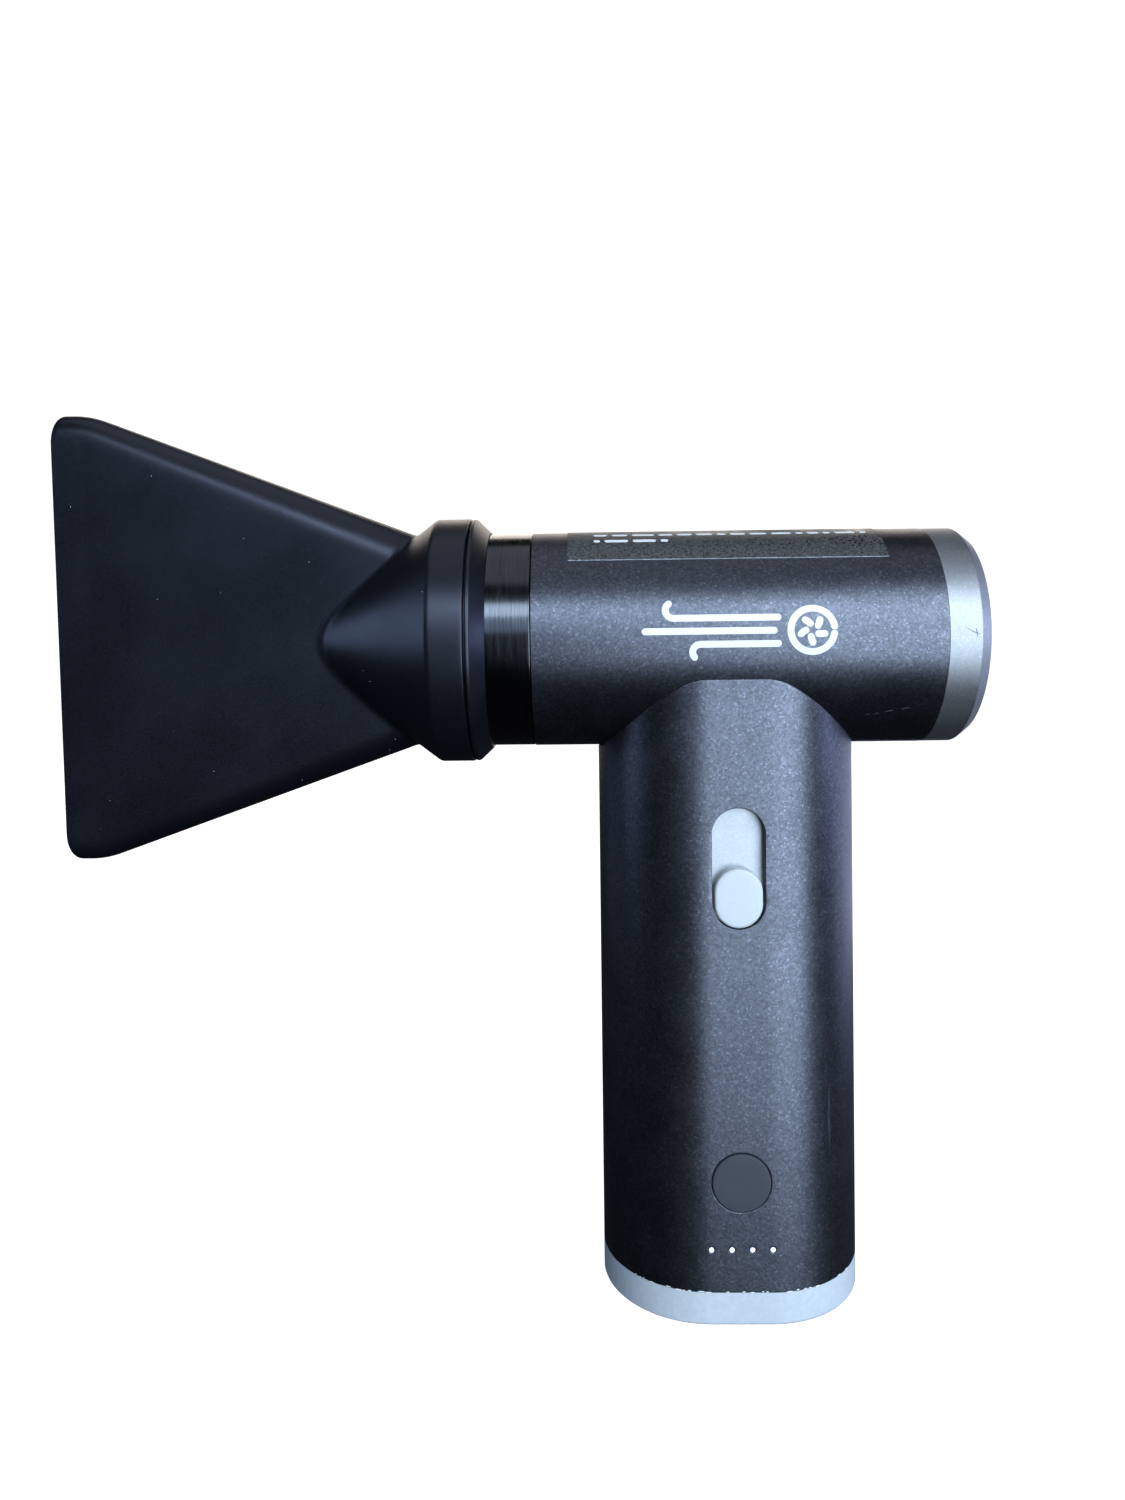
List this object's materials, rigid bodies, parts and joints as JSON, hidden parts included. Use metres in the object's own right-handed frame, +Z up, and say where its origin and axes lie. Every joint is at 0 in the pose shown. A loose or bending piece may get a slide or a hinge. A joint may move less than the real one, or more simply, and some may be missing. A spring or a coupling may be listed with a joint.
{
  "type": "cordless car dryer blower",
  "caption": "T-shaped cordless jet blower with a flat fan nozzle on a round barrel, an obround battery handle, a slide speed switch and a round power button.",
  "frame": {"origin": "centre of the handle's flat base, which it stands on", "axes": "+Z up along the handle; X along the barrel with the nozzle towards -X and the air intake towards +X; the switches face -Y"},
  "size_m": [0.1938, 0.0526, 0.1878],
  "materials": {
    "shell_anodised": "bead-blasted and dark anodised, satin with a fine sparkle",
    "ring_gloss_black": "turned smooth and gloss black",
    "ring_silver": "fine bead-blasted silver",
    "nozzle_black": "moulded, satin",
    "base_paint": "smooth satin paint in pale blue grey",
    "slide_silver": "fine-grained silver paint",
    "knob_pale": "smooth satin moulding",
    "button_grey": "satin moulding",
    "film_dark": "grained dark film",
    "guard_black": "moulded",
    "duct_grey": "moulded",
    "impeller_pale": "moulded, glass filled",
    "frame_black": "moulded",
    "black_rubber": "moulded",
    "lead_silicone": "silicone sleeved wire",
    "battery_lead_red": "silicone sleeved wire",
    "motor_steel": "drawn",
    "polished_steel": "ground",
    "screw_steel": "black zinc",
    "magnet_nickel": "nickel plated",
    "copper_wire": "enamelled wire",
    "cell_wrap": "heat-shrunk sleeve",
    "capacitor_sleeve": "heat-shrunk sleeve",
    "board_green": "solder mask",
    "chip_black": "moulded",
    "clear_pipe": "clear moulding",
    "led_white": "white diode"
  },
  "bodies": {
    "housing": {"barrel_tube": "shell_anodised", "handle_shell": "shell_anodised", "front_ring": "ring_gloss_black", "rear_ring": "ring_silver", "spigot_o_ring": "black_rubber", "front_isolator": "black_rubber", "rear_isolator": "black_rubber", "intake_grille": "guard_black", "label_film": "film_dark", "fan_duct": "duct_grey", "tail_cone": "duct_grey", "motor_can": "motor_steel", "motor_end_cap": "motor_steel", "stator_core": "motor_steel", "motor_windings": "copper_wire", "intake_bearing": "polished_steel", "outlet_bearing": "polished_steel", "motor_leads": "lead_silicone", "bottom_cap": "base_paint", "cap_screws": "screw_steel", "saddle_bracket": "frame_black", "saddle_screws": "screw_steel", "inner_frame": "frame_black", "frame_screws": "screw_steel", "battery_cell_left": "cell_wrap", "battery_cell_right": "cell_wrap", "nickel_strips": "magnet_nickel", "battery_leads": "battery_lead_red", "driver_board": "board_green", "mosfets": "chip_black", "filter_capacitor": "capacitor_sleeve", "control_board": "board_green", "board_screws": "screw_steel", "control_chip": "chip_black", "charge_board": "board_green", "pin_headers": "chip_black", "usb_c_socket": "motor_steel", "slide_guide": "frame_black", "slide_pot": "chip_black", "tact_switch": "chip_black", "button_guide": "frame_black", "light_pipe": "clear_pipe", "charge_leds": "led_white"},
    "nozzle": {"nozzle_body": "nozzle_black"},
    "nozzle_adapter": {"adapter_ring": "nozzle_black"},
    "rotor": {"motor_shaft": "polished_steel", "rotor_magnet": "magnet_nickel", "impeller": "impeller_pale", "impeller_nut": "polished_steel"},
    "slider": {"slide_plate": "slide_silver", "slide_knob": "knob_pale", "pot_lever": "frame_black"},
    "button": {"power_button": "button_grey", "tact_plunger": "frame_black"}
  },
  "joints": [
    {"name": "rotor_spin", "type": "hinge", "parent": "housing", "child": "rotor", "pos_m": [0.03, 0, 0.1384], "axis": [1, 0, 0], "continuous": true},
    {"name": "speed_slide", "type": "slide", "parent": "housing", "child": "slider", "axis": [0, 0, 1], "range_m": [0, 0.0118]},
    {"name": "power_press", "type": "slide", "parent": "housing", "child": "button", "axis": [0, 1, 0], "range_m": [0, 0.0005], "stiffness_N_per_m": 400},
    {"name": "nozzle_pull", "type": "slide", "parent": "housing", "child": "nozzle_adapter", "axis": [-1, 0, 0], "range_m": [0, 0.0115]},
    {"name": "nozzle_swivel", "type": "hinge", "parent": "nozzle_adapter", "child": "nozzle", "pos_m": [-0.058, 0, 0.1384], "axis": [1, 0, 0], "continuous": true}
  ]
}
